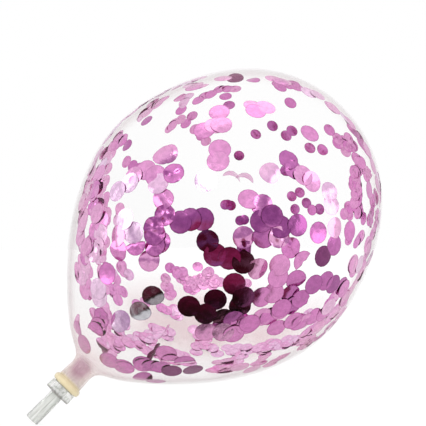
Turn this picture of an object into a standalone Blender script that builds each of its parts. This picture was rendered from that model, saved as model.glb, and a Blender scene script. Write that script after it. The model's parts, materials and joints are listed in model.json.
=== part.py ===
"""Confetti balloon, lying on its belly with the tip of its neck fitting on the table.

Two pieces: the blown-up latex balloon, whose neck ends in a rolled rim, and the clear moulded fitting
that plugs the neck.  Both are turned shapes on one axis.  Stations are distances along that axis from
the balloon's widest part, positive towards the crown and negative towards the neck, in metres.
"""
import math

import bmesh
import bpy

# --- balloon ---------------------------------------------------------------------------------------
BELLY_RADIUS = 0.150            # a 12 inch balloon, blown to 300 mm
CROWN = 0.158                   # station of the crown's tip
THROAT_RADIUS = 0.0098          # outside of the neck where it is narrowest
THROAT = -0.205                 # station where the skin has narrowed to the neck
THROAT_LEAD = 0.009             # length over which the skin runs straight into the throat
# Control net of the skin, as (station, radius) in belly radii: crown, crown's shoulder, the widest
# part, then the long taper to the neck.
CROWN_FLATNESS = 0.467
SKIN_NET = ((0.822, 0.825), (0.316, 0.995), (-0.233, 1.014), (-0.567, 0.892), (-0.933, 0.634),
            (-1.322, 0.150))

RIM_STATION = -0.2173           # middle of the rolled rim
RIM_ROLL = 0.0026               # radius of the roll
NECK_BORE = 0.0088              # inside of the neck, where the plug sits

# --- neck fitting ----------------------------------------------------------------------------------
GAP = 0.0003                    # between the balloon and the fitting, all round
PLUG_TOP = -0.2063              # station of the plug's inner end
PLUG_CHAMFER = 0.0012
COLLAR_RADIUS = 0.0108
COLLAR_LENGTH = 0.0064
COLLAR_EDGE = 0.0007            # rounding of the collar's two rims
FLUTES = 16                     # grip grooves round the collar
FLUTE_RADIUS = 0.0009
FLUTE_DEPTH = 0.0004
STEM_RADIUS = 0.0053
STEM_BORE = 0.0043

# --- how it lies -----------------------------------------------------------------------------------
TILT = math.radians(38.0)       # the neck points down by this much
FLAT_DEPTH = 0.0020             # how far the belly is flattened where it rests

SKIN_POINTS = 46                # points along the skin's profile
SKIN_SIDES = 60                 # sides round the balloon
FITTING_SIDES = 32


def bspline(net, count):
    """Return count points along the clamped uniform cubic B-spline of a control net."""
    spans = len(net) - 3
    knots = [0.0] * 3 + [float(i) for i in range(spans + 1)] + [float(spans)] * 3
    points = []
    for step in range(count):
        t = spans * step / (count - 1)
        k = min(int(t), spans - 1) + 3
        d = [list(net[k - 3 + j]) for j in range(4)]
        for level in range(1, 4):
            for j in range(3, level - 1, -1):
                low = knots[k - 3 + j]
                high = knots[k + 1 + j - level]
                w = (t - low) / (high - low)
                d[j] = [(1.0 - w) * a + w * b for a, b in zip(d[j - 1], d[j])]
        points.append(tuple(d[3]))
    return points


def arc(centre, radius, start, end, count):
    """Points (station, radius) on an arc; angles in degrees from the crown's direction."""
    points = []
    for i in range(count):
        angle = math.radians(start + (end - start) * i / (count - 1))
        points.append((centre[0] + radius * math.cos(angle), centre[1] + radius * math.sin(angle)))
    return points


def skin_profile(count):
    """The skin from the crown's tip to the neck."""
    net = [(CROWN, 0.0), (CROWN, CROWN_FLATNESS * BELLY_RADIUS)]
    net += [(s * BELLY_RADIUS, r * BELLY_RADIUS) for s, r in SKIN_NET]
    net += [(THROAT + THROAT_LEAD, THROAT_RADIUS), (THROAT, THROAT_RADIUS)]
    return bspline(net, count)


def balloon_profile():
    """Crown, belly, neck, rolled rim, then back up the neck's bore to a blind end."""
    dip = math.degrees(math.asin((THROAT_RADIUS - NECK_BORE) / RIM_ROLL))
    points = skin_profile(SKIN_POINTS)
    points += arc((RIM_STATION, THROAT_RADIUS), RIM_ROLL, 12.0, 180.0 + dip, 11)
    points += [(PLUG_TOP + GAP, NECK_BORE), (PLUG_TOP + GAP, 0.0)]
    return points


def collar_top():
    return RIM_STATION - RIM_ROLL - GAP


def fitting_profile(stem_end):
    """Plug, collar and stem down the outside, then back up the bore: a closed outline."""
    plug_radius = NECK_BORE - GAP
    top = collar_top()
    bottom = top - COLLAR_LENGTH
    edge = COLLAR_RADIUS - COLLAR_EDGE
    points = [(PLUG_TOP, plug_radius - PLUG_CHAMFER), (PLUG_TOP - PLUG_CHAMFER, plug_radius)]
    points += [(top, plug_radius)]
    points += arc((top - COLLAR_EDGE, edge), COLLAR_EDGE, 0.0, 90.0, 4)
    points += arc((bottom + COLLAR_EDGE, edge), COLLAR_EDGE, 90.0, 180.0, 4)
    points += arc((bottom - COLLAR_EDGE, STEM_RADIUS + COLLAR_EDGE), COLLAR_EDGE, 0.0, -90.0, 4)
    points += [(stem_end, STEM_RADIUS), (stem_end, STEM_BORE), (PLUG_TOP, STEM_BORE)]
    return points


def resting_place():
    """Height and place of the axis' zero station, and the station where the stem meets the table."""
    skin = skin_profile(400)
    lowest = max(r * math.cos(TILT) - s * math.sin(TILT) for s, r in skin)
    height = lowest - FLAT_DEPTH
    stem_end = -(height - STEM_RADIUS * math.cos(TILT)) / math.sin(TILT)
    front = max(s * math.cos(TILT) + r * math.sin(TILT) for s, r in skin)
    back = stem_end * math.cos(TILT) - STEM_RADIUS * math.sin(TILT)
    return height, -(front + back) / 2.0, stem_end


def clear_scene():
    for item in list(bpy.data.objects):
        bpy.data.objects.remove(item, do_unlink=True)


def collection(name):
    group = bpy.data.collections.new(name)
    bpy.context.scene.collection.children.link(group)
    return group


def material(name, colour, roughness, alpha):
    mat = bpy.data.materials.new(name)
    mat.use_nodes = True
    shader = mat.node_tree.nodes["Principled BSDF"]
    shader.inputs["Base Color"].default_value = (*colour, 1.0)
    shader.inputs["Roughness"].default_value = roughness
    shader.inputs["Metallic"].default_value = 0.0
    shader.inputs["Alpha"].default_value = alpha
    return mat


def turned(name, profile, sides, closed, group, mat):
    """An object turned from an outline of (station, radius) about its own Z axis."""
    mesh = bpy.data.meshes.new(name)
    edges = [(i, i + 1) for i in range(len(profile) - 1)]
    if closed:
        edges.append((len(profile) - 1, 0))
    mesh.from_pydata([(r, 0.0, s) for s, r in profile], edges, [])
    obj = bpy.data.objects.new(name, mesh)
    group.objects.link(obj)
    obj.data.materials.append(mat)
    screw = obj.modifiers.new("turn", "SCREW")
    screw.axis = "Z"
    screw.steps = sides
    screw.render_steps = sides
    screw.use_merge_vertices = True
    screw.merge_threshold = 0.00001
    screw.use_smooth_shade = True
    return obj


def cut(obj, cutter):
    boolean = obj.modifiers.new("cut_" + cutter.name, "BOOLEAN")
    boolean.operation = "DIFFERENCE"
    boolean.object = cutter


def cutter_object(name, mesh, group):
    obj = bpy.data.objects.new(name, mesh)
    group.objects.link(obj)
    obj.hide_render = True
    obj.display_type = "WIRE"
    return obj


def floor_cutter(group):
    """A slab whose top is the table, which flattens the belly where it rests."""
    side = 2.0 * BELLY_RADIUS
    depth = 0.05
    bm = bmesh.new()
    bmesh.ops.create_cube(bm, size=1.0)
    bmesh.ops.scale(bm, vec=(side, side, depth), verts=bm.verts)
    bmesh.ops.translate(bm, vec=(0.0, 0.0, -depth / 2.0), verts=bm.verts)
    mesh = bpy.data.meshes.new("table_top")
    bm.to_mesh(mesh)
    bm.free()
    return cutter_object("table_top", mesh, group)


def flute_cutter(group):
    """Rods set round the collar, which cut its grip grooves."""
    top = collar_top()
    length = COLLAR_LENGTH - 4.0 * COLLAR_EDGE
    ring = COLLAR_RADIUS + FLUTE_RADIUS - FLUTE_DEPTH
    bm = bmesh.new()
    for i in range(FLUTES):
        angle = 2.0 * math.pi * (i + 0.5) / FLUTES
        rod = bmesh.ops.create_cone(bm, cap_ends=True, segments=10, radius1=FLUTE_RADIUS,
                                    radius2=FLUTE_RADIUS, depth=length)
        place = (ring * math.cos(angle), ring * math.sin(angle), top - COLLAR_LENGTH / 2.0)
        bmesh.ops.translate(bm, vec=place, verts=rod["verts"])
    mesh = bpy.data.meshes.new("flute_rods")
    bm.to_mesh(mesh)
    bm.free()
    return cutter_object("flute_rods", mesh, group)


def main():
    clear_scene()
    parts = collection("confetti_balloon")
    cutters = collection("cutters")
    height, shift, stem_end = resting_place()

    lie = bpy.data.objects.new("lie", None)
    parts.objects.link(lie)
    lie.location = (shift, 0.0, height)
    lie.rotation_euler = (0.0, math.pi / 2.0 - TILT, 0.0)

    latex = material("clear_latex", (0.93, 0.88, 0.86), 0.12, 0.30)
    clear = material("clear_plastic", (0.90, 0.91, 0.89), 0.08, 0.40)
    balloon = turned("latex_balloon", balloon_profile(), SKIN_SIDES, False, parts, latex)
    fitting = turned("neck_fitting", fitting_profile(stem_end), FITTING_SIDES, True, parts, clear)
    rods = flute_cutter(cutters)
    for obj in (balloon, fitting, rods):
        obj.parent = lie

    cut(balloon, floor_cutter(cutters))
    cut(fitting, rods)


main()
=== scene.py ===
"""Looks of the confetti balloon: a clear latex balloon lying on its belly, its neck plugged with a clear
plastic fitting, and loose round foil confetti clinging to the inside of its wall.

Lengths are in metres.  Stations are distances along the balloon's axis from its widest part, positive
towards the crown and negative towards the neck."""
import json
import math
import random

import bmesh
import bpy
from mathutils import Matrix, Vector

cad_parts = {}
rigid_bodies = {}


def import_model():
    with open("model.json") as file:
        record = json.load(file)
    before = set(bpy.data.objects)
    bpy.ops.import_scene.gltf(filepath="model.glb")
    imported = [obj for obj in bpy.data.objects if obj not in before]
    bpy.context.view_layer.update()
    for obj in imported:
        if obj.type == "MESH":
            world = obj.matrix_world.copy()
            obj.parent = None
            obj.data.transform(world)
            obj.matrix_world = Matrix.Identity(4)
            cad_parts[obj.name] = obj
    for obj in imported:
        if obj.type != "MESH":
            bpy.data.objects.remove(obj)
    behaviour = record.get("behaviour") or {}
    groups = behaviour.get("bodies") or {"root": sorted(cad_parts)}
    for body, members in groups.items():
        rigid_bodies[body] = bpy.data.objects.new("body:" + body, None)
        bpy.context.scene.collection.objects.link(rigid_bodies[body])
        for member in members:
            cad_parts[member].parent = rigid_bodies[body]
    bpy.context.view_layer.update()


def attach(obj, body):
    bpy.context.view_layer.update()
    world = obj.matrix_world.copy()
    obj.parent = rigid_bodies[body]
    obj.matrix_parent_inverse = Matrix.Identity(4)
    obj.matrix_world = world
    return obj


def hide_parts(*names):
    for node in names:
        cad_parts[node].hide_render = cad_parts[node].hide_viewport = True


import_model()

MILLIMETRE = 0.001
TINY = 1e-9                     # anything under this counts as nothing

# --- sizes of the balloon, the same as the solids' ---------------------------------------------------
BELLY_RADIUS = 0.150            # a 12 inch balloon, blown to 300 mm
CROWN = 0.158                   # station of the crown's tip
THROAT_RADIUS = 0.0098          # outside of the neck where it is narrowest
THROAT = -0.205                 # station where the skin has narrowed to the neck
THROAT_LEAD = 0.009             # length over which the skin runs straight into the throat
# Control net of the skin, as (station, radius) in belly radii: crown, crown's shoulder, the widest
# part, then the long taper to the neck.
CROWN_FLATNESS = 0.467
SKIN_NET = ((0.822, 0.825), (0.316, 0.995), (-0.233, 1.014), (-0.567, 0.892), (-0.933, 0.634),
            (-1.322, 0.150))
RIM_STATION = -0.2173           # middle of the rolled rim
RIM_ROLL = 0.0026               # radius of the roll
NECK_BORE = 0.0088              # inside of the neck, where the plug sits
GAP = 0.0003                    # between the balloon and the fitting, all round
PLUG_TOP = -0.2063              # station of the plug's inner end
PLUG_CHAMFER = 0.0012
COLLAR_RADIUS = 0.0108
COLLAR_LENGTH = 0.0064
COLLAR_EDGE = 0.0007            # rounding of the collar's two rims
FLUTES = 16                     # grip grooves round the collar
STEM_RADIUS = 0.0053
STEM_BORE = 0.0043
TILT = math.radians(38.0)       # the neck points down by this much
FLAT_DEPTH = 0.0020             # how far the belly is flattened where it rests

# --- finer sizes of the looks ------------------------------------------------------------------------
FILM = 0.0003                   # thickness of the blown latex
TABLE_GAP = 0.0002              # the skin is kept this far above the table
SKIN_SIDES = 144
SKIN_POINTS = 110               # points along the skin's profile
REST_POINTS = 400               # points along the profile that finds how the balloon lies
WALL_POINTS = 500               # points along the profile that the discs cling to

RIM_POINTS = 41
RIM_LAYERS = 7.0                # rolled layers that show round the bead
RIM_LAYER_DEPTH = 0.045         # how deep the grooves between them are, as a share of the roll
LINER_END = 0.003               # the inner wall of the skin stops this far above the plug
PLEATS_START = -0.190           # station where the neck's pleats begin
PLEATS_FADE = 0.012             # length over which they come in
RIM_REACH = 0.004               # how far the rim's lumps reach along the neck
BORE_MARGIN = 0.0004            # what is this close to the bore stays smooth
# Waves round the neck, as (how many, height, phase).
PLEATS = ((17.0, 0.00014, 0.6), (29.0, 0.0001, 0.0))
LUMPS = ((3.0, 0.00022, 1.0), (7.0, 0.00014, 0.0))

FITTING_SIDES = 192
EDGE_POINTS = 7                 # points round each rounded edge of the fitting
PLUG_BEVEL = 0.0004
TRIM = 0.0003                   # small chamfers at the plug's foot and the stem's outer end
BORE_TRIM = 0.0002              # chamfer at the stem's bore
FLUTE_CUT = 0.0006

AXIS = Vector((math.cos(TILT), 0.0, math.sin(TILT)))
UPPER = Vector((-math.sin(TILT), 0.0, math.cos(TILT)))
NEAR = Vector((0.0, -1.0, 0.0))

# --- sizes of the confetti ---------------------------------------------------------------------------
DISC_RADIUS = 0.0080
FOIL = 0.0001                   # thickness of the foil
DISC_SIDES = 16
SLOPE_STEP = 1e-5               # how far apart two points are, to find the slope of a bent disc
FOLD_ROUND = 0.0006             # radius of the round at a fold
CRUMPLE = 0.00035               # height of each wave of a crumpled disc
DRAWN_IN = 0.96                 # how much narrower crumpling leaves it
CLEARANCE = 0.0004              # between the film and the middle of a disc that doesn't tip
STAGGER = 0.00012               # each disc of a drift lies this much further in than the last
LAYERS = 4                      # after this many discs the stagger starts again, so crowded discs can cross
SHAPE_DEPTH = 0.0008            # room for what a bent disc reaches past its own plane
LEAN_SPREAD = 3.0               # spread of how far discs tip off the wall, in degrees
WIDE_STRAY = 3                  # a drift that strays more than this, in millimetres, has no even spacing
SET_TINT = 0.1                  # a tint under this is used as it is
DARKEST = 0.12                  # the other tints go no lower than this


# --- shapes ------------------------------------------------------------------------------------------
def bspline(net, count):
    """Return count points along the clamped uniform cubic B-spline of a control net."""
    spans = len(net) - 3
    knots = [0.0] * 3 + [float(i) for i in range(spans + 1)] + [float(spans)] * 3
    points = []
    for step in range(count):
        t = spans * step / (count - 1)
        k = min(int(t), spans - 1) + 3
        d = [list(net[k - 3 + j]) for j in range(4)]
        for level in range(1, 4):
            for j in range(3, level - 1, -1):
                low = knots[k - 3 + j]
                high = knots[k + 1 + j - level]
                w = (t - low) / (high - low)
                d[j] = [(1.0 - w) * a + w * b for a, b in zip(d[j - 1], d[j])]
        points.append(tuple(d[3]))
    return points


def skin_profile(count):
    """The skin from the crown's tip to the neck, as (station, radius)."""
    net = [(CROWN, 0.0), (CROWN, CROWN_FLATNESS * BELLY_RADIUS)]
    net += [(s * BELLY_RADIUS, r * BELLY_RADIUS) for s, r in SKIN_NET]
    net += [(THROAT + THROAT_LEAD, THROAT_RADIUS), (THROAT, THROAT_RADIUS)]
    return bspline(net, count)


def resting_place():
    """Height and place of the axis' zero station, and the station where the stem meets the table."""
    skin = skin_profile(REST_POINTS)
    lowest = max(r * math.cos(TILT) - s * math.sin(TILT) for s, r in skin)
    height = lowest - FLAT_DEPTH
    stem_end = -(height - STEM_RADIUS * math.cos(TILT)) / math.sin(TILT)
    front = max(s * math.cos(TILT) + r * math.sin(TILT) for s, r in skin)
    back = stem_end * math.cos(TILT) - STEM_RADIUS * math.sin(TILT)
    return height, -(front + back) / 2.0, stem_end


HEIGHT, SHIFT, STEM_END = resting_place()
MIDDLE = Vector((SHIFT, 0.0, HEIGHT))
PROFILE = skin_profile(WALL_POINTS)


def place(station, radius, around):
    """A point at a station and radius; around is in radians from the upper side towards the near side."""
    out = math.cos(around) * UPPER + math.sin(around) * NEAR
    return MIDDLE + station * AXIS + radius * out


def offset_profile(profile, inward):
    """The same profile moved inward by a wall's thickness."""
    moved = []
    for i, (s, r) in enumerate(profile):
        s0, r0 = profile[max(i - 1, 0)]
        s1, r1 = profile[min(i + 1, len(profile) - 1)]
        length = math.hypot(s1 - s0, r1 - r0)
        along, out = (s1 - s0) / length, (r1 - r0) / length
        if i == 0:
            along, out = 0.0, 1.0
        moved.append((s - inward * out, max(r + inward * along, 0.0)))
    return moved


def arc(centre, radius, start, end, count):
    """Points (station, radius) on an arc; angles in degrees from the crown's direction."""
    points = []
    for i in range(count):
        angle = math.radians(start + (end - start) * i / (count - 1))
        points.append((centre[0] + radius * math.cos(angle), centre[1] + radius * math.sin(angle)))
    return points


def turned(name, profile, sides, ripple, closed=False):
    """A mesh turned from an outline of (station, radius), crown first down its outer side.
    ripple(station, radius, around) gives each point's own radius."""
    verts = []
    rings = []
    for s, r in profile:
        if r < TINY:
            rings.append([len(verts)])
            verts.append(place(s, 0.0, 0.0))
            continue
        ring = []
        for k in range(sides):
            around = 2.0 * math.pi * k / sides
            ring.append(len(verts))
            verts.append(place(s, ripple(s, r, around), around))
        rings.append(ring)
    faces = []
    pairs = list(zip(rings, rings[1:]))
    if closed:
        pairs.append((rings[-1], rings[0]))
    for a, b in pairs:
        for k in range(sides):
            m = (k + 1) % sides
            if len(a) == 1:
                faces.append((a[0], b[m], b[k]))
            elif len(b) == 1:
                faces.append((a[k], a[m], b[0]))
            else:
                faces.append((a[k], a[m], b[m], b[k]))
    mesh = bpy.data.meshes.new(name)
    mesh.from_pydata([tuple(v) for v in verts], [], faces)
    mesh.polygons.foreach_set("use_smooth", [True] * len(mesh.polygons))
    mesh.update()
    return mesh


def piece(name, mesh, material):
    obj = bpy.data.objects.new(name, mesh)
    bpy.context.scene.collection.objects.link(obj)
    obj.data.materials.append(material)
    return obj


def face_out(mesh):
    """Turn every face of a closed mesh outward."""
    bm = bmesh.new()
    bm.from_mesh(mesh)
    bmesh.ops.recalc_face_normals(bm, faces=bm.faces)
    bm.to_mesh(mesh)
    bm.free()


def wall(along, around):
    """Point and outward normal of the wall.  Along is in degrees from the crown, seen from the middle of
    the belly; around is in degrees about the axis, from the upper side towards the near side."""
    want = math.radians(along)
    last = None
    for s, r in PROFILE:
        angle = math.atan2(r, s)
        if last is not None and angle >= want:
            s0, r0, a0 = last
            t = (want - a0) / max(angle - a0, TINY)
            station, radius = s0 + t * (s - s0), r0 + t * (r - r0)
            ds, dr = s - s0, r - r0
            break
        last = (s, r, angle)
    else:
        station, radius = PROFILE[-1]
        ds, dr = -1.0, 0.0
    turn = math.radians(around)
    out = math.cos(turn) * UPPER + math.sin(turn) * NEAR
    length = math.hypot(ds, dr)
    normal = (-ds / length) * out + (dr / length) * AXIS
    return place(station, radius, turn), normal


# --- materials ---------------------------------------------------------------------------------------
STRAIGHT_UP = Vector((0.0, 0.0, 1.0))
FAR_AND_CROWNWARDS = Vector((0.66, 0.75, 0.0))
SMUDGE = (177.2, 56.0)          # place of a plum smudge in the neck, as wall() takes it
ROSY_LOW_TONE = (0.62, 0.27, 0.31)
PLUM_SMUDGE = (0.44, 0.25, 0.31)
CREAM_RIM = (0.76, 0.67, 0.42)
COLLAR_FOOT_GREY = (0.24, 0.23, 0.21)


def shader_nodes(name):
    material = bpy.data.materials.new(name)
    material.use_nodes = True
    tree = material.node_tree
    return material, tree, tree.nodes["Principled BSDF"]


def ramp(tree, factor, stops, smooth=True):
    """Colours read off a ramp of (position, colour) by a factor; a colour given as one number is grey."""
    node = tree.nodes.new("ShaderNodeValToRGB")
    node.color_ramp.interpolation = "EASE" if smooth else "LINEAR"
    while len(node.color_ramp.elements) > 1:
        node.color_ramp.elements.remove(node.color_ramp.elements[-1])
    for i, (at, colour) in enumerate(stops):
        element = node.color_ramp.elements[0] if i == 0 else node.color_ramp.elements.new(at)
        element.position = at
        element.color = (*colour, 1.0) if isinstance(colour, tuple) else (colour, colour, colour, 1.0)
    tree.links.new(factor, node.inputs["Fac"])
    return node.outputs["Color"]


def on_object(tree):
    return tree.nodes.new("ShaderNodeTexCoord").outputs["Object"]


def vector_value(tree, operation, where, other):
    """One number worked out from a place and a fixed vector."""
    node = tree.nodes.new("ShaderNodeVectorMath")
    node.operation = operation
    node.inputs[1].default_value = other
    tree.links.new(where, node.inputs[0])
    return node.outputs["Value"]


def soft_step(tree, value, start, end):
    """0 at the start and 1 at the end, with a smooth run between them."""
    span = tree.nodes.new("ShaderNodeMapRange")
    span.interpolation_type = "SMOOTHSTEP"
    span.inputs["From Min"].default_value = start
    span.inputs["From Max"].default_value = end
    tree.links.new(value, span.inputs["Value"])
    return span.outputs["Result"]


def along_axis(tree, where, start, end, direction=AXIS):
    """0 at the start station and 1 at the end station, read along a direction through the middle."""
    base = MIDDLE.dot(direction)
    return soft_step(tree, vector_value(tree, "DOT_PRODUCT", where, direction), base + start, base + end)


def noise(tree, vector, scale, detail=2.0):
    node = tree.nodes.new("ShaderNodeTexNoise")
    node.inputs["Scale"].default_value = scale
    node.inputs["Detail"].default_value = detail
    tree.links.new(vector, node.inputs["Vector"])
    return node.outputs["Fac"]


def maths(tree, operation, a, b, clamp=False):
    node = tree.nodes.new("ShaderNodeMath")
    node.operation = operation
    node.use_clamp = clamp
    for socket, value in zip(node.inputs, (a, b)):
        if isinstance(value, float):
            socket.default_value = value
        else:
            tree.links.new(value, socket)
    return node.outputs[0]


def mixed(tree, factor, a, b, blend="MIX"):
    node = tree.nodes.new("ShaderNodeMix")
    node.data_type = "RGBA"
    node.blend_type = blend
    for socket, value in ((node.inputs[0], factor), (node.inputs[6], a), (node.inputs[7], b)):
        if isinstance(value, tuple):
            socket.default_value = (*value, 1.0)
        elif isinstance(value, float):
            socket.default_value = value
        else:
            tree.links.new(value, socket)
    return node.outputs[2]


def added(tree, a, b):
    return maths(tree, "ADD", a, b)


def times(tree, a, b):
    return maths(tree, "MULTIPLY", a, b)


def near_spot(tree, where, centre, reach):
    """1 at a point, falling softly to 0 at its reach."""
    return soft_step(tree, vector_value(tree, "DISTANCE", where, centre), reach, 0.3 * reach)


def bumpy(tree, height, strength, distance, under=None):
    """The normal of a surface with a bump on it, and on the bump under it."""
    bump = tree.nodes.new("ShaderNodeBump")
    bump.inputs["Strength"].default_value = strength
    bump.inputs["Distance"].default_value = distance
    tree.links.new(height, bump.inputs["Height"])
    if under is not None:
        tree.links.new(under, bump.inputs["Normal"])
    return bump.outputs["Normal"]


def latex_material():
    """Clear where it is blown thin, creamier and milkier down to the neck, cream at the rolled rim."""
    material, tree, shader = shader_nodes("clear_latex")
    where = on_object(tree)
    towards_neck = along_axis(tree, where, 0.02, -0.2165)
    at_rim = along_axis(tree, where, -0.2125, -0.2150)

    # How much shows: the outline, the milky tone towards the neck, a rosier, darker tone low on the far
    # side, a smudge and the rim.
    layer = tree.nodes.new("ShaderNodeLayerWeight")
    layer.inputs["Blend"].default_value = 0.5
    facing = layer.outputs["Facing"]
    edge = ramp(tree, facing, ((0.0, 0.0), (0.62, 0.003), (0.66, 0.018), (0.70, 0.050), (0.775, 0.10),
                               (0.84, 0.09), (0.89, 0.065), (1.0, 0.06)))
    milk = ramp(tree, towards_neck, ((0.0, 0.0015), (0.30, 0.004), (0.60, 0.014), (0.86, 0.028),
                                     (0.94, 0.055), (0.975, 0.17), (0.99, 0.30), (1.0, 0.46)))
    milky = times(tree, milk, added(tree, noise(tree, where, 14.0), 0.5))
    # A rosier, darker, patchy tone low on the far side of the skin.
    low = along_axis(tree, where, -0.055, -0.13, STRAIGHT_UP)
    far = along_axis(tree, where, -0.03, 0.05, FAR_AND_CROWNWARDS)
    necked = along_axis(tree, where, 0.10, -0.06)
    patches = ramp(tree, noise(tree, where, 17.0, 3.0), ((0.34, 0.4), (0.62, 1.0)))
    low_tone = times(tree, times(tree, low, far), times(tree, necked, 0.24))
    low_tone = times(tree, added(tree, low_tone, times(tree, low, 0.012)), patches)
    how_low_toned = maths(tree, "DIVIDE", low_tone, added(tree, added(tree, milky, low_tone), 0.0001))
    milky = added(tree, milky, low_tone)
    smudge = near_spot(tree, where, wall(*SMUDGE)[0], 0.0125)
    milky = added(tree, milky, times(tree, smudge, 0.25))
    milky = added(tree, milky, times(tree, at_rim, 0.34))
    shown = maths(tree, "ADD", milky, edge, clamp=True)
    tree.links.new(shown, shader.inputs["Alpha"])

    # What colour shows.
    skin = ramp(tree, towards_neck, ((0.0, (0.05, 0.03, 0.01)), (0.75, (0.06, 0.04, 0.02)),
                                     (0.90, (0.26, 0.20, 0.15)), (0.965, (0.66, 0.52, 0.50)),
                                     (1.0, (0.86, 0.76, 0.70))))
    skin = mixed(tree, how_low_toned, skin, ROSY_LOW_TONE)
    skin = mixed(tree, smudge, skin, PLUM_SMUDGE)
    skin = mixed(tree, at_rim, skin, CREAM_RIM)
    limb = ramp(tree, facing, ((0.0, (0.30, 0.12, 0.15)), (0.74, (0.30, 0.12, 0.15)),
                               (0.84, (0.26, 0.15, 0.16)), (0.95, (0.60, 0.44, 0.48))))
    how_edge = maths(tree, "DIVIDE", edge, shown)
    tree.links.new(mixed(tree, how_edge, skin, limb), shader.inputs["Base Color"])

    grain = noise(tree, where, 60.0, 3.0)
    tree.links.new(ramp(tree, grain, ((0.3, 0.06), (0.7, 0.16))), shader.inputs["Roughness"])
    tree.links.new(bumpy(tree, grain, 0.06, 0.001), shader.inputs["Normal"])
    shader.inputs["IOR"].default_value = 1.52
    return material


def fitting_material():
    """Clear moulded plastic: mottled at the collar, streaked along the stem, with a darker grey ring
    between.
    """
    material, tree, shader = shader_nodes("clear_plastic")
    shader.inputs["Transmission Weight"].default_value = 0.62
    shader.inputs["IOR"].default_value = 1.30
    where = on_object(tree)
    past_collar = along_axis(tree, where, -0.2255, -0.2272)
    lengthways = tree.nodes.new("ShaderNodeMapping")
    lengthways.vector_type = "TEXTURE"
    lengthways.inputs["Rotation"].default_value = (0.0, -TILT, 0.0)
    lengthways.inputs["Scale"].default_value = (14.0, 1.0, 1.0)
    tree.links.new(where, lengthways.inputs["Vector"])
    mottle = noise(tree, where, 420.0, 3.0)
    lines = noise(tree, lengthways.outputs["Vector"], 620.0)
    streaks = mixed(tree, past_collar, mottle, lines)
    hue_and_reflection = ramp(tree, streaks, ((0.34, (0.56, 0.58, 0.54)), (0.50, (0.86, 0.88, 0.84)),
                                (0.66, (0.98, 0.98, 0.97))))
    # A darker grey ring where the collar steps down to the stem.
    foot_ring = times(tree, along_axis(tree, where, -0.2245, -0.2263), along_axis(tree, where, -0.2275, -0.2263))
    foot_ring = times(tree, foot_ring, 0.7)
    tree.links.new(mixed(tree, foot_ring, hue_and_reflection, COLLAR_FOOT_GREY), shader.inputs["Base Color"])
    tree.links.new(ramp(tree, streaks, ((0.35, 0.03), (0.75, 0.16))), shader.inputs["Roughness"])
    tree.links.new(bumpy(tree, streaks, 0.25, 0.0005), shader.inputs["Normal"])
    return material


def disc_value(tree, name):
    """A number that each disc carries."""
    read = tree.nodes.new("ShaderNodeAttribute")
    read.attribute_name = name
    return read.outputs["Fac"]


def foil_material():
    """Pink mirror foil, with faint rolling streaks.  Tint is smoky steel at 0 and black plum at 0.04, then
    runs from plum (0.16) through pink to pale lilac (1).  The tint is partly the foil's own hue and partly
    painted reflection: darker tints paint in the dark room a disc mirrors, pale lilac paints highlights."""
    material, tree, shader = shader_nodes("confetti_foil")
    hue_and_reflection = disc_value(tree, "hue_and_reflection")
    where = on_object(tree)
    colours = ramp(tree, hue_and_reflection, ((0.0, (0.78, 0.78, 0.86)), (0.04, (0.10, 0.02, 0.05)),
                                (0.16, (0.46, 0.13, 0.39)), (0.5, (0.80, 0.27, 0.64)),
                                (0.85, (0.90, 0.46, 0.73)), (1.0, (0.94, 0.70, 0.92))), smooth=False)
    tree.links.new(ramp(tree, hue_and_reflection, ((0.5, 1.0), (0.8, 0.86))), shader.inputs["Metallic"])
    outline = ramp(tree, disc_value(tree, "edge"),
                   ((0.0, 1.0), (0.90, 1.0), (0.95, (0.84, 0.76, 0.82)), (1.0, (0.58, 0.47, 0.56))),
                   smooth=False)
    streaks = noise(tree, where, 260.0, 4.0)
    shade = ramp(tree, streaks, ((0.25, 0.80), (0.75, 1.0)))
    how_lined = ramp(tree, hue_and_reflection, ((0.55, 1.0), (0.80, 0.4)))
    lined = mixed(tree, how_lined, colours, outline, "MULTIPLY")
    tree.links.new(mixed(tree, 1.0, lined, shade, "MULTIPLY"), shader.inputs["Base Color"])
    tree.links.new(ramp(tree, streaks, ((0.3, 0.12), (0.8, 0.24))), shader.inputs["Roughness"])
    scratches = bumpy(tree, streaks, 0.22, 0.0006)
    dents = bumpy(tree, noise(tree, where, 95.0, 1.0), 0.30, 0.0016, scratches)
    tree.links.new(dents, shader.inputs["Normal"])
    return material


# --- balloon -----------------------------------------------------------------------------------------
def rim_bead():
    """The rolled rim: a bead whose layers show as faint grooves."""
    points = []
    dip = math.degrees(math.asin((THROAT_RADIUS - NECK_BORE) / RIM_ROLL))
    for i in range(RIM_POINTS):
        angle = math.radians(10.0 + (170.0 + dip) * i / (RIM_POINTS - 1))
        roll = RIM_ROLL * (1.0 - RIM_LAYER_DEPTH * (0.5 + 0.5 * math.cos(RIM_LAYERS * angle)))
        points.append((RIM_STATION + roll * math.cos(angle), THROAT_RADIUS + roll * math.sin(angle)))
    return points


def waves_round(waves, around):
    return sum(height * math.sin(count * around + phase) for count, height, phase in waves)


def neck_stretch(station, radius, around):
    """Fine lengthwise pleats in the neck, fading out where the belly begins, and an uneven rolled rim."""
    if radius < NECK_BORE + BORE_MARGIN:
        return radius
    near_neck = max(0.0, min(1.0, (PLEATS_START - station) / PLEATS_FADE))
    at_rim = max(0.0, 1.0 - abs(station - RIM_STATION) / RIM_REACH)
    pleat = waves_round(PLEATS, around)
    return radius + near_neck * (1.0 - at_rim) * pleat + at_rim * waves_round(LUMPS, around)


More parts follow.
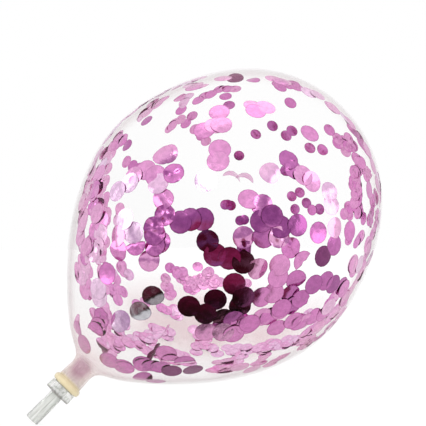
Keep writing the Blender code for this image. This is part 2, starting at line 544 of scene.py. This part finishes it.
def balloon_mesh():
    """The skin as a closed double wall: down the outside, round the rim, and back up the inside."""
    outer = skin_profile(SKIN_POINTS)
    bore = [(PLUG_TOP + GAP, NECK_BORE)]
    inner = [p for p in offset_profile(outer, FILM) if p[0] > PLUG_TOP + LINER_END]
    inner.reverse()
    profile = outer + rim_bead() + bore + inner
    mesh = turned("balloon_skin", profile, SKIN_SIDES, neck_stretch)
    for vertex in mesh.vertices:
        inside = vertex.index >= len(mesh.vertices) // 2
        vertex.co.z = max(vertex.co.z, FILM + TABLE_GAP if inside else TABLE_GAP)
    face_out(mesh)
    return mesh


def fitting_mesh():
    """Plug, grooved collar and tubular stem."""
    plug = NECK_BORE - GAP
    top = RIM_STATION - RIM_ROLL - GAP
    bottom = top - COLLAR_LENGTH
    edge = COLLAR_EDGE
    rim = COLLAR_RADIUS - edge
    points = [(PLUG_TOP, plug - PLUG_CHAMFER), (PLUG_TOP - PLUG_BEVEL, plug - PLUG_BEVEL)]
    points += [(PLUG_TOP - PLUG_CHAMFER, plug), (top + TRIM, plug), (top, plug + TRIM)]
    points += arc((top - edge, rim), edge, 0.0, 90.0, EDGE_POINTS)
    points += arc((bottom + edge, rim), edge, 90.0, 180.0, EDGE_POINTS)
    points += arc((bottom - edge, STEM_RADIUS + edge), edge, 0.0, -90.0, EDGE_POINTS)
    points += [(STEM_END + TRIM, STEM_RADIUS), (STEM_END, STEM_RADIUS - TRIM)]
    points += [(STEM_END, STEM_BORE + BORE_TRIM), (STEM_END + BORE_TRIM, STEM_BORE), (PLUG_TOP, STEM_BORE)]

    def grooves(station, radius, around):
        if radius < COLLAR_RADIUS - 0.4 * edge or not bottom < station < top:
            return radius
        return radius - FLUTE_CUT * max(0.0, math.cos(FLUTES * around)) ** 3

    mesh = turned("neck_fitting_clear", points, FITTING_SIDES, grooves, closed=True)
    face_out(mesh)
    return mesh


# --- confetti ----------------------------------------------------------------------------------------
def disc_outline(rings):
    """Flat points of a disc: its middle, then rings at shares of its radius."""
    points = [(0.0, 0.0)]
    for share in rings:
        for k in range(DISC_SIDES):
            turn = 2.0 * math.pi * k / DISC_SIDES
            points.append((share * DISC_RADIUS * math.cos(turn), share * DISC_RADIUS * math.sin(turn)))
    return points


def disc_mesh(name, bend, rings):
    """A thin closed foil disc; bend(x, y) gives where each flat point goes."""
    n = DISC_SIDES
    flat = disc_outline(rings)
    top = [Vector(bend(x, y)) for x, y in flat]
    tilt = [Vector(bend(x + SLOPE_STEP, y)) - p for (x, y), p in zip(flat, top)]
    lean = [Vector(bend(x, y + SLOPE_STEP)) - p for (x, y), p in zip(flat, top)]
    under = [p - FOIL * a.cross(b).normalized() for p, a, b in zip(top, tilt, lean)]
    faces = []
    for base, order in ((0, 1), (len(flat), -1)):
        for k in range(n):
            m = (k + 1) % n
            faces.append([base, base + 1 + k, base + 1 + m][::order])
            for ring in range(len(rings) - 1):
                a = base + 1 + ring * n
                b = a + n
                faces.append([a + k, b + k, b + m, a + m][::order])
    rim = 1 + (len(rings) - 1) * n
    for k in range(n):
        m = (k + 1) % n
        faces.append([rim + m, rim + k, len(flat) + rim + k, len(flat) + rim + m])
    mesh = bpy.data.meshes.new(name)
    mesh.from_pydata([tuple(p) for p in top + under], [], faces)
    mesh.polygons.foreach_set("use_smooth", [True] * len(faces))
    mesh.update()
    rims = [{rim + k for k in range(n)}, {len(flat) + rim + k for k in range(n)}]
    sharp = [any(e.vertices[0] in r and e.vertices[1] in r for r in rims) for e in mesh.edges]
    mesh.attributes.new("sharp_edge", "BOOLEAN", "EDGE").data.foreach_set("value", sharp)
    shares = [math.hypot(x, y) / DISC_RADIUS for x, y in flat]
    mesh.attributes.new("edge", "FLOAT", "POINT").data.foreach_set("value", shares + shares)
    return mesh


def dished(depth):
    """Dished evenly; a negative depth dishes it the other way."""
    def bend(x, y):
        return x, y, -depth * (math.hypot(x, y) / DISC_RADIUS) ** 2
    return bend


def curled(radius, lean=0.0):
    """Rolled to a radius about a line through the disc, which leans by an angle."""
    def bend(x, y):
        u = x * math.cos(lean) + y * math.sin(lean)
        v = -x * math.sin(lean) + y * math.cos(lean)
        angle = u / radius
        a = radius * math.sin(angle)
        return (a * math.cos(lean) - v * math.sin(lean), a * math.sin(lean) + v * math.cos(lean),
                -radius * (1.0 - math.cos(angle)))
    return bend


def creased(degrees, offset):
    """Folded along a chord, with a tight round at the fold."""
    fold = math.radians(degrees)
    start = offset * DISC_RADIUS

    def bend(x, y):
        past = x - start
        if past <= 0.0:
            return x, y, 0.0
        angle = min(past / FOLD_ROUND, fold)
        rest = max(0.0, past - fold * FOLD_ROUND)
        return (start + FOLD_ROUND * math.sin(angle) + rest * math.cos(fold), y,
                -FOLD_ROUND * (1.0 - math.cos(angle)) - rest * math.sin(fold))
    return bend


def crumpled(seed):
    """Crossed by three fine waves, and drawn in a little by them."""
    draw = random.Random(seed)
    waves = [(draw.uniform(0.0, math.pi), draw.uniform(500.0, 1100.0), draw.uniform(0.0, 6.0))
             for _ in range(3)]

    def bend(x, y):
        height = sum(CRUMPLE * math.sin(f * (x * math.cos(a) + y * math.sin(a)) + p) for a, f, p in waves)
        return x * DRAWN_IN, y * DRAWN_IN, height
    return bend


def wavy(height):
    """Soft waves both ways across, as a disc that has been bent and let go."""
    def bend(x, y):
        across, along = x / DISC_RADIUS, y / DISC_RADIUS
        return x, y, height * math.sin(across * 2.6) + 0.5 * height * math.cos(along * 3.4)
    return bend


def standing(degrees, radius):
    """A bowed disc held by one edge and swung off the wall: far for a crescent, a little if tipped."""
    lean = math.radians(degrees)

    def bend(x, y):
        sag = radius * (math.cos(y / radius) - 1.0)
        return (x * math.cos(lean) + sag * math.sin(lean), radius * math.sin(y / radius),
                -(x + DISC_RADIUS) * math.sin(lean) + sag * math.cos(lean))
    return bend


MANY_RINGS = (0.34, 0.67, 1.0)
KINDS = (
    ("disc_00_flat", dished(0.00006), (0.88, 1.0)),
    ("disc_01_domed", dished(0.00045), (0.6, 1.0)),
    ("disc_02_cupped", dished(-0.00055), (0.6, 1.0)),
    ("disc_03_bowed", curled(0.032, 0.4), (0.5, 1.0)),
    ("disc_04_creased", creased(24.0, 0.05), MANY_RINGS),
    ("disc_05_folded", creased(152.0, 0.1), MANY_RINGS),
    ("disc_06_curled", curled(0.0052), (0.25, 0.5, 0.75, 1.0)),
    ("disc_07_crumpled", crumpled(3), MANY_RINGS),
    ("disc_08_crinkled", crumpled(8), MANY_RINGS),
    ("disc_09_rolled", curled(0.014, 0.9), MANY_RINGS),
    ("disc_10_wavy", wavy(0.00030), MANY_RINGS),
    ("disc_11_standing", standing(76.0, 0.0072), MANY_RINGS),
    ("disc_12_tipped", standing(20.0, 0.05), (0.5, 1.0)),
)
(FLAT, DOMED, CUPPED, BOWED, CREASED, FOLDED, CURLED, CRUMPLED, CRINKLED, ROLLED, WAVY, STANDING,
 TIPPED) = range(13)

# Where the discs cling.  Places are (degrees from the crown, degrees round from the upper side towards
# the near side).  Single discs are given by place, kind, how the foil leans from steel (0) and plum to
# lilac (1), and sometimes how they are turned on the wall in degrees.  The lean is partly the foil's hue
# and partly painted reflection: dark plum where a disc mirrors the dark room, pale lilac for highlights.
SINGLE_DISCS = (
    # the dark chain down the middle
    (132, 63, CRINKLED, 0.07), (133, 68, CUPPED, 0.3), (131, 72, CUPPED, 0.3), (125, 70, CRINKLED, 0.7),
    (127, 74, CURLED, 0.1, 0), (129, 76, WAVY, 0.04), (134, 80, DOMED, 0.4), (134, 86, DOMED, 0.07),
    (136, 89, ROLLED, 0.05), (140, 81, DOMED, 0.12), (146, 77, DOMED, 0.12), (144, 84, DOMED, 0.12),
    (141, 90, FOLDED, 0.04), (139, 93, CREASED, 0.15), (142, 93, ROLLED, 0.2), (138, 96, CREASED, 0.5),
    # right of the chain
    (127, 81, CREASED, 0.8), (122, 84, DOMED, 0.65), (124, 87, FLAT, 0.6), (127, 91, DOMED, 0.6),
    (130, 90, BOWED, 0.55), (120, 92, CREASED, 0.4), (121, 99, CRUMPLED, 0.35), (123, 96, ROLLED, 0.3),
    (116, 88, FOLDED, 0.6), (118, 77, CRUMPLED, 0.8), (117, 82, CRINKLED, 0.5), (121, 74, WAVY, 0.3),
    (117, 63, TIPPED, 0.62, 90), (116, 67, ROLLED, 0.6), (116, 71, DOMED, 0.3), (119, 70, WAVY, 0.3),
    (116, 75, FLAT, 0.35), (112, 78, DOMED, 0.16), (108, 84, CUPPED, 0.35), (102, 87, BOWED, 0.85),
    (97, 92, FLAT, 0.5), (110, 91, DOMED, 0.09), (105, 91, DOMED, 0.3), (116, 97, FLAT, 0.25),
    (112, 99, FLAT, 0.3), (97, 78, BOWED, 0.93), (99, 81, BOWED, 0.9),
    # the purple line towards the neck
    (133, 52, DOMED, 0.37), (129, 57, DOMED, 0.4), (131, 54, BOWED, 0.37), (131, 42, ROLLED, 0.6),
    (134, 46, CRUMPLED, 0.5), (138, 45, CRUMPLED, 0.45), (140, 50, ROLLED, 0.5),
    (145, 51, CREASED, 0.75), (144, 42, FOLDED, 0.5), (124, 40, CRINKLED, 0.5), (154, 35, CUPPED, 0.45),
    (157, 86, STANDING, 0.9), (151, 63, CREASED, 0.02, 300), (156, 64, CREASED, 0.0, 300),
    (162, 58, TIPPED, 1.0, 90),
    # shoulder of the neck
    (168, 44, FOLDED, 0.5), (173, 31, DOMED, 0.55), (171, 83, DOMED, 0.5), (169, 98, DOMED, 0.5),
    (169, 102, DOMED, 0.5), (162, 102, STANDING, 0.05, 325), (159, 116, FLAT, 0.095),
    (154, 119, FLAT, 0.095),
    # top
    (75, 25, TIPPED, 0.06, 275), (92, 44, DOMED, 0.7), (90, 47, DOMED, 0.75), (94, 46, FLAT, 0.6),
    (101, 38, DOMED, 0.65), (112, 47, FLAT, 0.65), (115, 49, FLAT, 0.7), (87, 62, CUPPED, 0.6),
    (101, 63, CRUMPLED, 0.3), (102, 66, CRUMPLED, 0.4), (100, 64, STANDING, 0.2, 165),
    (101, 69, CUPPED, 0.75), (100, 72, CUPPED, 0.75), (108, 62, ROLLED, 0.9, 90),
    (112, 57, STANDING, 0.75, 75), (114, 54, STANDING, 0.75, 68), (121, 50, FLAT, 1.0),
)
# Drifts are lines of discs from one place to another: how many, how far they stray from the line in
# millimetres, how the foil leans (partly painted reflection, as above), and sometimes the kind of disc.
NEAR_DRIFTS = (
    # middle
    ((146, 93), (141, 99), 3, 1, 0.6), ((138, 97), (130, 99), 4, 2, 0.55),
    ((129, 106), (124, 107), 3, 2, 0.5), ((128, 98), (123, 99), 3, 2, 0.45),
    ((100, 103), (95, 106), 4, 2, 0.8), ((88, 105), (87, 107), 2, 1, 0.55),
    ((111, 100), (105, 109), 2, 1, 0.45), ((105, 110), (99, 114), 2, 2, 0.75),
    ((112, 110), (103, 117), 3, 3, 0.9), ((124, 107), (115, 113), 4, 3, 0.6),
    ((80, 99), (73, 104), 2, 1, 0.5), ((76, 91), (72, 95), 2, 1, 0.5),
    # towards the neck
    ((138, 46), (141, 49), 2, 1, 0.45, CREASED), ((148, 36), (145, 32), 2, 1, 0.6, CREASED),
    ((127, 34), (128, 38), 2, 2, 0.75, WAVY), ((134, 23), (128, 28), 4, 3, 0.85),
    ((120, 33), (121, 31), 2, 1, 0.8, ROLLED), ((140, 33), (143, 38), 2, 2, 1.0, WAVY),
    ((159, 32), (160, 35), 2, 1, 0.9, WAVY),
    # shoulder of the neck
    ((164, 42), (166, 44), 3, 1, 0.35, CRUMPLED), ((171, 7), (170, 4), 2, 1, 0.5),
    ((165, 103), (161, 109), 4, 2, 0.45), ((158, 104), (155, 108), 2, 1, 0.5, CREASED),
    ((158, 97), (158, 97), 1, 0, 0.55), ((166, 134), (163, 140), 2, 1, 0.4),
    ((140, 127), (137, 134), 2, 2, 0.85),
    # top
    ((70, 38), (69, 43), 3, 1, 0.75), ((107, 39), (104, 42), 3, 2, 0.7),
    ((92, 21), (88, 16), 3, 1, 0.8), ((83, 14), (94, 3), 8, 2, 0.85, FLAT),
    ((97, -1), (104, -2), 4, 2, 0.7), ((93, 21), (84, 24), 2, 1, 0.75),
    # edge-on along the outline
    ((104, 0), (122, -6), 4, 3, 0.8, FLAT), ((124, -6), (150, 4), 7, 4, 0.85, FLAT),
    ((66, 50), (62, 70), 6, 3, 0.9, FLAT), ((63, 82), (66, 98), 6, 3, 0.85, FLAT),
    ((128, 2), (142, 10), 8, 4, 0.7), ((143, 14), (150, 22), 6, 4, 0.75),
    ((150, 10), (157, 16), 5, 3, 0.75), ((69, 106), (80, 116), 3, 3, 0.85),
    ((109, 121), (122, 120), 1, 3, 0.9),
)
FAR_DRIFTS = (
    # round the crown
    ((45, 8), (45, 8), 1, 1, 0.5), ((36, 20), (29, 22), 2, 1, 0.5), ((44, -18), (40, -24), 2, 1, 0.4),
    ((50, -11), (46, -8), 4, 2, 0.6), ((56, -21), (53, -15), 4, 2, 0.6),
    ((64, -28), (64, -28), 1, 0, 0.5), ((62, -20), (70, -18), 4, 4, 0.85),
    ((84, -16), (92, -24), 6, 4, 0.85), ((38, 20), (40, 34), 5, 3, 0.6),
    ((60, -40), (57, -36), 2, 2, 0.6), ((55, -46), (48, -54), 3, 2, 0.7),
    ((64, -36), (69, -37), 4, 2, 0.75), ((22, -40), (18, -17), 2, 0, 0.4),
    ((10, -12), (13, 22), 2, 0, 0.4), ((24, 70), (24, 70), 1, 0, 0.5), ((9, 80), (16, 96), 2, 1, 0.5),
    ((32, -74), (32, -74), 1, 0, 0.4), ((78, -12), (88, -18), 7, 5, 0.75),
    ((84, -26), (84, -26), 1, 0, 0.4),
    # the right-hand bank
    ((24, 84), (38, 106), 18, 5, 0.6), ((31, 108), (34, 126), 11, 5, 0.6),
    ((33, 122), (40, 138), 10, 5, 0.6), ((46, 132), (36, 148), 10, 5, 0.6),
    ((21, -162), (26, -147), 2, 1, 0.4), ((30, -158), (30, -175), 2, 1, 0.4),
    ((26, -170), (30, 176), 2, 2, 0.4), ((49, -124), (51, -122), 2, 1, 0.4),
    ((49, -110), (51, -104), 3, 1, 0.45), ((52, 100), (57, 114), 6, 4, 0.4),
    ((38, 76), (43, 92), 6, 4, 0.45), ((55, 138), (50, 150), 6, 4, 0.6),
    ((64, 134), (56, 120), 7, 4, 0.5), ((46, 118), (52, 128), 4, 4, 0.55),
    # the left-hand bank
    ((94, -36), (94, -36), 1, 0, 0.3), ((96, -44), (89, -54), 3, 1, 0.45),
    ((98, -30), (112, -24), 10, 5, 0.6), ((104, -35), (118, -42), 15, 6, 0.8),
    ((110, -48), (120, -58), 15, 7, 0.8), ((118, -34), (136, -48), 20, 7, 0.8),
    ((116, -60), (132, -68), 18, 7, 0.85), ((132, -50), (148, -60), 12, 6, 0.8),
    ((126, -74), (142, -86), 12, 7, 0.85), ((110, -72), (104, -66), 3, 3, 0.85),
    ((122, -88), (124, -98), 4, 4, 0.75), ((134, -92), (142, -104), 8, 7, 0.7),
    ((148, -100), (160, -106), 8, 6, 0.8), ((144, -70), (154, -80), 6, 6, 0.75),
    # low
    ((100, -112), (96, -120), 4, 3, 0.6), ((101, -120), (98, -130), 11, 5, 0.75),
    ((95, -128), (91, -138), 10, 5, 0.75), ((88, -136), (80, -150), 6, 5, 0.85),
    ((150, -112), (160, -126), 8, 6, 0.9), ((158, -104), (165, -120), 5, 5, 0.85),
    ((140, -168), (146, -150), 8, 6, 0.9), ((126, -176), (134, 172), 8, 6, 0.85),
    ((108, -114), (114, -126), 6, 6, 0.8), ((119, -124), (122, -134), 7, 6, 0.8),
    ((89, -124), (86, -130), 2, 2, 0.6), ((92, 166), (86, 148), 10, 6, 0.85),
    ((98, 160), (90, 140), 15, 6, 0.8), ((107, 165), (98, 152), 18, 6, 0.85),
    ((112, 178), (106, 164), 14, 6, 0.85), ((116, -172), (124, 176), 12, 7, 0.9),
    ((128, -162), (122, -150), 10, 7, 0.9), ((134, -131), (133, -140), 7, 4, 0.85),
    ((147, -128), (141, -136), 9, 4, 0.85), ((136, 178), (134, 168), 7, 5, 0.85),
    ((152, -128), (148, -146), 7, 5, 0.85), ((156, -118), (160, -130), 5, 4, 0.85),
    ((84, 142), (76, 130), 6, 5, 0.75), ((80, 162), (84, 150), 6, 5, 0.85),
    ((110, 150), (100, 134), 10, 5, 0.75), ((70, 124), (76, 134), 4, 4, 0.7),
    ((113, 173), (113, 173), 1, 0, 0.2, FLAT), ((124, 168), (118, 156), 6, 5, 0.8),
    ((126, -112), (132, -120), 4, 5, 0.8), ((140, -150), (134, -158), 5, 5, 0.85),
)


# The kinds that a disc may come out as when its row names none, and how often each does.
LOOSE_KINDS = (FLAT, DOMED, CUPPED, BOWED, WAVY, CREASED, CRUMPLED)
EVEN_SHARES = (1,) * len(LOOSE_KINDS)
NEAR_SHARES = (12, 34, 16, 14, 10, 8, 6)
FAR_SHARES = (16, 36, 20, 20, 6, 1, 1)


def disc_rows():
    """Every row as a drift, with its shares of kinds, its palest tint and how far its tints spread."""
    rows = [((row[:2], row[:2], 1, 0, row[3], row[2], *row[4:]), EVEN_SHARES, 1.0, 0.0)
            for row in SINGLE_DISCS]
    rows += [(row, NEAR_SHARES, 0.97, 0.12) for row in NEAR_DRIFTS]
    rows += [(row, FAR_SHARES, 0.92, 0.07) for row in FAR_DRIFTS]
    return rows


def across_wall(normal):
    """Two directions on the wall: round the axis, and along it."""
    sideways = AXIS.cross(normal).normalized()
    return sideways, normal.cross(sideways)


def wall_degrees(point):
    """Degrees along and around, as wall() takes them, of a point near the wall."""
    out_of_middle = point - MIDDLE
    station = out_of_middle.dot(AXIS)
    out = out_of_middle - station * AXIS
    along = math.atan2(out.length, station)
    around = math.atan2(out.dot(NEAR), out.dot(UPPER))
    return math.degrees(along), math.degrees(around)


def scatter():
    """Place, turn, kind and tint of every disc.  Each row has its own seed, so a change to one row leaves
    the discs of the others where they are."""
    seeds = []
    for (start, end, count, stray, hue_and_reflection, *chosen_kind), shares, palest, spread in disc_rows():
        draw = random.Random(f"{start} {end}")
        for i in range(count):
            t = 0.5 if count == 1 else (i + draw.uniform(-0.3, 0.3)) / (count - 1)
            if stray > WIDE_STRAY:
                t = draw.random()
            swing = (end[1] - start[1] + 180.0) % 360.0 - 180.0
            point, normal = wall(start[0] + (end[0] - start[0]) * t, start[1] + swing * t)
            sideways, lengthways = across_wall(normal)
            off = (draw.gauss(0.0, stray * MILLIMETRE), draw.gauss(0.0, stray * MILLIMETRE))
            point, normal = wall(*wall_degrees(point + off[0] * sideways + off[1] * lengthways))
            chosen = draw.choices(LOOSE_KINDS, shares)[0]
            kind = chosen_kind[0] if chosen_kind else chosen
            lean = math.radians(abs(draw.gauss(0.0, LEAN_SPREAD)))
            spin = draw.uniform(0.0, 2.0 * math.pi)
            if len(chosen_kind) > 1:
                spin = math.radians(chosen_kind[1])
            heading = draw.uniform(0.0, 2.0 * math.pi)
            tilt_axis = math.cos(heading) * sideways + math.sin(heading) * lengthways
            facing = Matrix.Rotation(lean, 3, tilt_axis) @ normal
            depth = FILM + CLEARANCE + DISC_RADIUS * math.sin(lean) + STAGGER * (i % LAYERS)
            if kind not in (FLAT, DOMED, BOWED):
                depth += SHAPE_DEPTH
            middle = point - depth * normal
            lowest = middle.z - DISC_RADIUS * math.sqrt(max(0.0, 1.0 - facing.z ** 2)) - SHAPE_DEPTH
            middle.z += max(0.0, FILM + TABLE_GAP - lowest)
            turn = facing.to_track_quat("Z", "Y").to_matrix() @ Matrix.Rotation(spin, 3, "Z")
            # The tint is partly painted reflection: dark tints paint in a mirrored dark room, pale lilac
            # paints highlights.
            shade = draw.gauss(0.0, spread)
            shade = hue_and_reflection if hue_and_reflection < SET_TINT else max(DARKEST, min(palest, hue_and_reflection + shade))
            seeds.append((middle, turn.to_euler(), kind, shade))
    return seeds


def seed_mesh(seeds):
    """A point for every disc, which carries its turn, kind and tint, the tint partly painted reflection."""
    mesh = bpy.data.meshes.new("confetti_seeds")
    mesh.from_pydata([tuple(s[0]) for s in seeds], [], [])
    turns = [angle for s in seeds for angle in s[1]]
    mesh.attributes.new("turn", "FLOAT_VECTOR", "POINT").data.foreach_set("vector", turns)
    mesh.attributes.new("kind", "INT", "POINT").data.foreach_set("value", [s[2] for s in seeds])
    mesh.attributes.new("hue_and_reflection", "FLOAT", "POINT").data.foreach_set("value", [s[3] for s in seeds])
    return mesh


def confetti_tree():
    """Put a disc of the right kind on every seed, turned as the seed says."""
    tree = bpy.data.node_groups.new("scatter_confetti", "GeometryNodeTree")
    face = tree.interface
    face.new_socket("Seeds", in_out="INPUT", socket_type="NodeSocketGeometry")
    kinds_in = face.new_socket("Disc Kinds", in_out="INPUT", socket_type="NodeSocketCollection")
    size_in = face.new_socket("Disc Size", in_out="INPUT", socket_type="NodeSocketFloat")
    foil_in = face.new_socket("Foil", in_out="INPUT", socket_type="NodeSocketMaterial")
    face.new_socket("Confetti", in_out="OUTPUT", socket_type="NodeSocketGeometry")
    nodes, links = tree.nodes, tree.links
    group_in = nodes.new("NodeGroupInput")
    group_out = nodes.new("NodeGroupOutput")
    kinds = nodes.new("GeometryNodeCollectionInfo")
    kinds.inputs["Separate Children"].default_value = True
    kinds.inputs["Reset Children"].default_value = True
    named = {}
    for label, data_type in (("turn", "FLOAT_VECTOR"), ("kind", "INT")):
        read = nodes.new("GeometryNodeInputNamedAttribute")
        read.data_type = data_type
        read.inputs["Name"].default_value = label
        named[label] = read.outputs["Attribute"]
    put = nodes.new("GeometryNodeInstanceOnPoints")
    put.inputs["Pick Instance"].default_value = True
    to_turn = nodes.new("FunctionNodeEulerToRotation")
    realize = nodes.new("GeometryNodeRealizeInstances")
    paint = nodes.new("GeometryNodeSetMaterial")
    links.new(group_in.outputs["Seeds"], put.inputs["Points"])
    links.new(group_in.outputs["Disc Kinds"], kinds.inputs["Collection"])
    links.new(kinds.outputs["Instances"], put.inputs["Instance"])
    links.new(named["kind"], put.inputs["Instance Index"])
    links.new(named["turn"], to_turn.inputs["Euler"])
    links.new(to_turn.outputs["Rotation"], put.inputs["Rotation"])
    links.new(group_in.outputs["Disc Size"], put.inputs["Scale"])
    links.new(put.outputs["Instances"], realize.inputs["Geometry"])
    links.new(realize.outputs["Geometry"], paint.inputs["Geometry"])
    links.new(group_in.outputs["Foil"], paint.inputs["Material"])
    links.new(paint.outputs["Geometry"], group_out.inputs["Confetti"])
    return tree, kinds_in.identifier, size_in.identifier, foil_in.identifier


def confetti(foil):
    """All the discs as one plain mesh."""
    kinds = bpy.data.collections.new("disc_kinds")
    bpy.context.scene.collection.children.link(kinds)
    for name, bend, rings in KINDS:
        kinds.objects.link(bpy.data.objects.new(name, disc_mesh(name, bend, rings)))
    obj = bpy.data.objects.new("confetti_seeds", seed_mesh(scatter()))
    bpy.context.scene.collection.objects.link(obj)
    tree, kinds_id, size_id, foil_id = confetti_tree()
    maker = obj.modifiers.new("scatter", "NODES")
    maker.node_group = tree
    maker[kinds_id] = kinds
    maker[size_id] = 1.0
    maker[foil_id] = foil
    bpy.context.view_layer.update()
    done = obj.evaluated_get(bpy.context.evaluated_depsgraph_get())
    mesh = bpy.data.meshes.new_from_object(done)
    mesh.name = "foil_confetti"
    bpy.data.objects.remove(obj)
    for item in list(kinds.objects):
        bpy.data.objects.remove(item)
    bpy.data.collections.remove(kinds)
    result = bpy.data.objects.new("foil_confetti", mesh)
    bpy.context.scene.collection.objects.link(result)
    return result


# --- studio ------------------------------------------------------------------------------------------
LOOK_AT = Vector((0.0038, -0.0015, 0.1483))
CAMERA_AZIMUTH = math.radians(-131.3)
CAMERA_ELEVATION = math.radians(-2.32)
CAMERA_DISTANCE = 0.375
LENS = 29.07                    # in millimetres, as the sensor's width is
SENSOR_WIDTH = 36.0
SHIFT_X = -0.0232
SHIFT_Y = 0.0350
DARK_ROOM = Vector((-0.60, -0.56, -0.57))       # the direction of the dark room's middle
FRONT_ROOM = Vector((-0.66, -0.74, 0.10))       # and of the dusky band's
DUSK = (0.42, 0.29, 0.46)
WHITE = (1.0, 1.0, 1.0)
FLOOR_REACH = 6.0
FLOOR_GLOW = 0.93
# Name, place, size in metres, power in watts, and whether the foil mirrors it.
SOFT_LIGHTS = (
    ("softbox_over", (0.1, -0.2, 1.6), (1.2, 1.0), 2.1, True),
    ("softbox_left", (-1.3, 0.35, 0.45), (0.5, 0.9), 2.0, True),
    ("softbox_right", (0.55, -1.3, 0.35), (0.6, 0.7), 1.6, True),
    ("umbrella", (-1.16, -0.85, 0.93), (0.32, 0.32), 1.1, True),
    ("fill", (-0.9, -1.6, 1.2), (1.5, 1.5), 18.0, False),
)


def camera():
    data = bpy.data.cameras.new("camera")
    data.lens = LENS
    data.sensor_width = SENSOR_WIDTH
    data.clip_start = 0.01
    data.shift_x = SHIFT_X
    data.shift_y = SHIFT_Y
    obj = bpy.data.objects.new("camera", data)
    bpy.context.scene.collection.objects.link(obj)
    level = math.cos(CAMERA_ELEVATION)
    away = Vector((level * math.cos(CAMERA_AZIMUTH), level * math.sin(CAMERA_AZIMUTH),
                   math.sin(CAMERA_ELEVATION)))
    obj.location = LOOK_AT + CAMERA_DISTANCE * away
    obj.rotation_euler = away.to_track_quat("Z", "Y").to_euler()
    bpy.context.scene.camera = obj


def studio_world():
    """White all round to the eye; what the foil mirrors is a soft grey tent, brighter overhead, with a
    dusky band and a dark room low on the near side."""
    world = bpy.data.worlds.new("studio")
    bpy.context.scene.world = world
    world.use_nodes = True
    tree = world.node_tree
    background = tree.nodes["Background"]
    way = tree.nodes.new("ShaderNodeTexCoord").outputs["Generated"]
    split = tree.nodes.new("ShaderNodeSeparateXYZ")
    tree.links.new(way, split.inputs["Vector"])
    height = tree.nodes.new("ShaderNodeMapRange")
    height.inputs["From Min"].default_value = -1.0
    height.inputs["From Max"].default_value = 1.0
    tree.links.new(split.outputs["Z"], height.inputs["Value"])
    height = height.outputs["Result"]

    tent = ramp(tree, height, ((0.0, (0.84, 0.84, 0.82)), (0.5, (0.96, 0.96, 0.96)),
                               (0.75, (0.94, 0.92, 0.97)), (0.92, (1.00, 1.00, 1.00))))
    in_front = vector_value(tree, "DOT_PRODUCT", way, FRONT_ROOM.normalized())
    dusk = ramp(tree, in_front, ((0.0, 0.0), (0.50, 0.0), (0.78, 1.0), (1.0, 1.0)))
    band = ramp(tree, height, ((0.0, 0.0), (0.43, 0.0), (0.50, 1.0), (0.61, 1.0), (0.74, 0.0)))
    mirrored = mixed(tree, times(tree, dusk, band), tent, DUSK)

    in_dark = vector_value(tree, "DOT_PRODUCT", way, DARK_ROOM.normalized())
    depth = ramp(tree, in_dark, ((0.0, 0.0), (0.78, 0.0), (0.90, 1.0), (1.0, 1.0)))
    corner = ramp(tree, height, ((0.0, (0.008, 0.002, 0.004)), (0.09, (0.016, 0.003, 0.006)),
                                 (0.18, (0.09, 0.009, 0.026)), (0.26, (0.25, 0.034, 0.082))))
    glints = ramp(tree, noise(tree, way, 5.5), ((0.0, 0.0), (0.57, 0.0), (0.68, (0.15, 0.05, 0.10))))
    lit_corner = mixed(tree, 1.0, corner, glints, "ADD")
    mirrored = mixed(tree, depth, mirrored, lit_corner)

    path = tree.nodes.new("ShaderNodeLightPath")
    seen = maths(tree, "ADD", path.outputs["Is Camera Ray"], path.outputs["Transmission Depth"], clamp=True)
    tree.links.new(mixed(tree, seen, mirrored, WHITE), background.inputs["Color"])
    background.inputs["Strength"].default_value = 1.0


def soft_light(name, location, size, power, mirrored):
    data = bpy.data.lights.new(name, "AREA")
    data.shape = "RECTANGLE"
    data.size = size[0]
    data.size_y = size[1]
    data.energy = power
    obj = bpy.data.objects.new(name, data)
    bpy.context.scene.collection.objects.link(obj)
    obj.location = location
    obj.rotation_euler = (Vector(location) - LOOK_AT).to_track_quat("Z", "Y").to_euler()
    obj.visible_camera = False
    obj.visible_glossy = mirrored


def floor():
    """White paper that glows, so that it stays as white as the studio round it."""
    mesh = bpy.data.meshes.new("floor")
    corners = [(x * FLOOR_REACH, y * FLOOR_REACH, 0.0) for x, y in ((-1, -1), (1, -1), (1, 1), (-1, 1))]
    mesh.from_pydata(corners, [], [(0, 1, 2, 3)])
    material, _, shader = shader_nodes("white_paper")
    shader.inputs["Base Color"].default_value = (0.06, 0.06, 0.06, 1.0)
    shader.inputs["Roughness"].default_value = 0.9
    shader.inputs["Emission Color"].default_value = (*WHITE, 1.0)
    shader.inputs["Emission Strength"].default_value = FLOOR_GLOW
    obj = piece("floor", mesh, material)
    obj.visible_glossy = False


# --- put together --------------------------------------------------------------------------------------
camera()
studio_world()
floor()
for light in SOFT_LIGHTS:
    soft_light(*light)

latex = latex_material()
plastic = fitting_material()
foil = foil_material()

balloon = piece("balloon_skin", balloon_mesh(), latex)
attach(balloon, "root")
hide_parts("latex_balloon")

fitting = piece("neck_fitting_clear", fitting_mesh(), plastic)
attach(fitting, "root")
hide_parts("neck_fitting")

discs = confetti(foil)
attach(discs, "root")

bpy.context.scene.view_settings.view_transform = "Standard"
